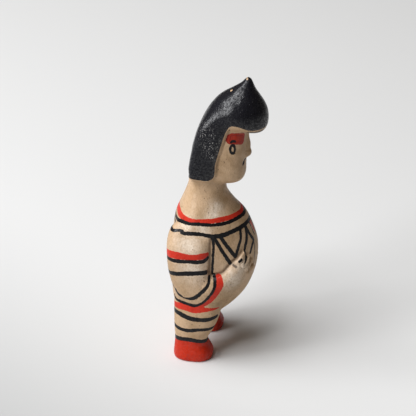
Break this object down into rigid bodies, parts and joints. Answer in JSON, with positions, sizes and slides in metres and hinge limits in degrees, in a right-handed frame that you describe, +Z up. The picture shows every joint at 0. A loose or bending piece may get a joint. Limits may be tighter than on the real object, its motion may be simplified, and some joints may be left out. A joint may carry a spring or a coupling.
{
  "type": "painted clay doll",
  "caption": "Standing painted clay figure with a cap of black hair, striped arms and legs, and hands resting on its belly.",
  "frame": {"origin": "on the plane of the soles, below the middle of the doll's box", "axes": "+Z up from the soles to the tip of the hair, -Y the way the doll faces, -X its right side"},
  "size_m": [0.037, 0.038, 0.1201],
  "materials": {
    "painted_clay": "matte"
  },
  "bodies": {
    "root": {"clay_doll": "painted_clay"}
  },
  "joints": []
}
